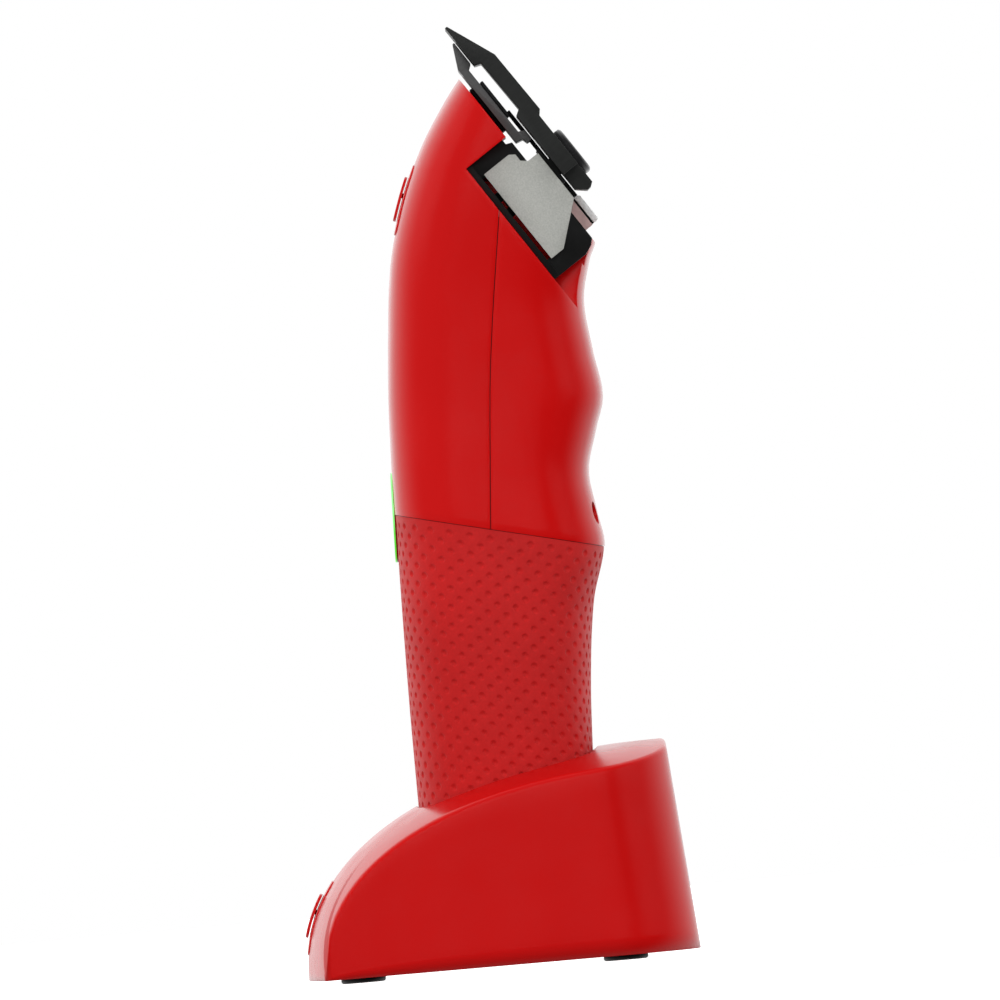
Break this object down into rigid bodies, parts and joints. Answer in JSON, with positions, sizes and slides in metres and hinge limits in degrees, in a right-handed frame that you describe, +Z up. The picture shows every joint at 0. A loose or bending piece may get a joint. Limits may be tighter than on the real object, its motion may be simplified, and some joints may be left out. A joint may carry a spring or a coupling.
{
  "type": "hair clipper",
  "caption": "Cordless hair clipper with a dimpled grip, toothed blades and a taper lever, standing in a wedge-shaped charging stand.",
  "frame": {"origin": "middle of the footprint of the stand, on the surface that its feet stand on", "axes": "+Z up, -Y the front of the stand and of the clipper, with the badges, +X across"},
  "size_m": [0.068, 0.0786, 0.1884],
  "materials": {
    "stand_red": "polished moulded plastic, deep red",
    "body_red": "polished lacquered plastic, deep red",
    "grip_red": "matt soft-touch grip covered in small round dimples",
    "black_plastic": "moulded black plastic",
    "black_rubber": "soft black rubber",
    "blade_black": "black coated ground steel",
    "cutter_grey": "dark grey coated ground steel",
    "screw_black": "black polished steel",
    "bracket_grey": "bead-blasted grey metal",
    "steel": "plain steel",
    "chrome": "polished chrome",
    "lever_silver": "satin silver",
    "contact_gold": "gold plated",
    "bearing_bronze": "sintered bronze",
    "board_green": "circuit board",
    "light_green": "lit translucent band",
    "button_red": "dark red push button",
    "cell_wrap": "shrink wrapped battery cell",
    "copper": "lacquered copper windings on a laminated core"
  },
  "bodies": {
    "stand": {"stand_shell": "stand_red", "stand_base": "black_plastic", "rubber_feet": "black_rubber", "base_screws": "steel", "ballast_plate": "steel", "dock_well": "black_plastic", "contact_block": "black_plastic", "stand_circuit_board": "board_green", "power_inlet": "black_plastic", "stand_badge": "stand_red", "stand_badge_inlay": "chrome"},
    "charge_pins": {"charge_pins": "contact_gold"},
    "clipper": {"front_cover": "body_red", "rear_housing": "body_red", "grip_sleeve": "grip_red", "bottom_cap": "black_plastic", "contact_plates": "contact_gold", "housing_screws": "steel", "clipper_badge": "body_red", "clipper_badge_inlay": "chrome", "light_ring": "light_green", "power_switch": "black_plastic", "control_board": "board_green", "battery_cell": "cell_wrap", "battery_holder": "black_plastic", "motor_can": "steel", "motor_magnets": "screw_black", "motor_end_cap": "black_plastic", "motor_bearings": "bearing_bronze", "motor_mount": "black_plastic", "motor_screws": "steel", "head_frame": "black_plastic", "blade_bracket": "bracket_grey", "seat_pads": "black_rubber", "fixed_blade": "blade_black", "blade_screws": "screw_black"},
    "power_button": {"power_button": "button_red"},
    "rotor": {"armature": "copper", "motor_shaft": "steel", "eccentric_cam": "steel"},
    "carrier": {"cutter_guide": "screw_black"},
    "cutter": {"cutter_blade": "cutter_grey", "drive_fork": "black_plastic"},
    "lever": {"lever_shaft": "steel", "lever_arm": "chrome", "lever_gasket": "black_rubber", "lever_pad": "lever_silver", "lever_screw": "steel"}
  },
  "joints": [
    {"name": "dock_lift", "type": "slide", "parent": "stand", "child": "clipper", "axis": [0, 0.0872, 0.9962], "range_m": [0, 0.07]},
    {"name": "charge_pin_press", "type": "slide", "parent": "stand", "child": "charge_pins", "axis": [0, -0.0872, -0.9962], "range_m": [0, 0.0009], "stiffness_N_per_m": 150, "springref_m": -0.001},
    {"name": "power_press", "type": "slide", "parent": "clipper", "child": "power_button", "axis": [0, 0.9997, -0.0244], "range_m": [0, 0.0006], "stiffness_N_per_m": 400, "springref_m": -0.0005},
    {"name": "taper_lever", "type": "hinge", "parent": "clipper", "child": "lever", "pos_m": [0, 0.02132, 0.15073], "axis": [1, 0, 0], "range_deg": [0, 32]},
    {"name": "taper_slide", "type": "slide", "parent": "clipper", "child": "carrier", "axis": [0, -0.5563, 0.831], "range_m": [0, 0.00238]},
    {"name": "cutter_stroke", "type": "slide", "parent": "carrier", "child": "cutter", "axis": [1, 0, 0], "range_m": [-0.00125, 0.00125]},
    {"name": "drive_spin", "type": "hinge", "parent": "clipper", "child": "rotor", "pos_m": [0, 0.0072, 0.12652], "axis": [0, 0.0872, 0.9962], "continuous": true}
  ],
  "couplings": [
    {"joint": "taper_lever", "follows": "taper_slide", "rad_per_m": 234.21}
  ]
}
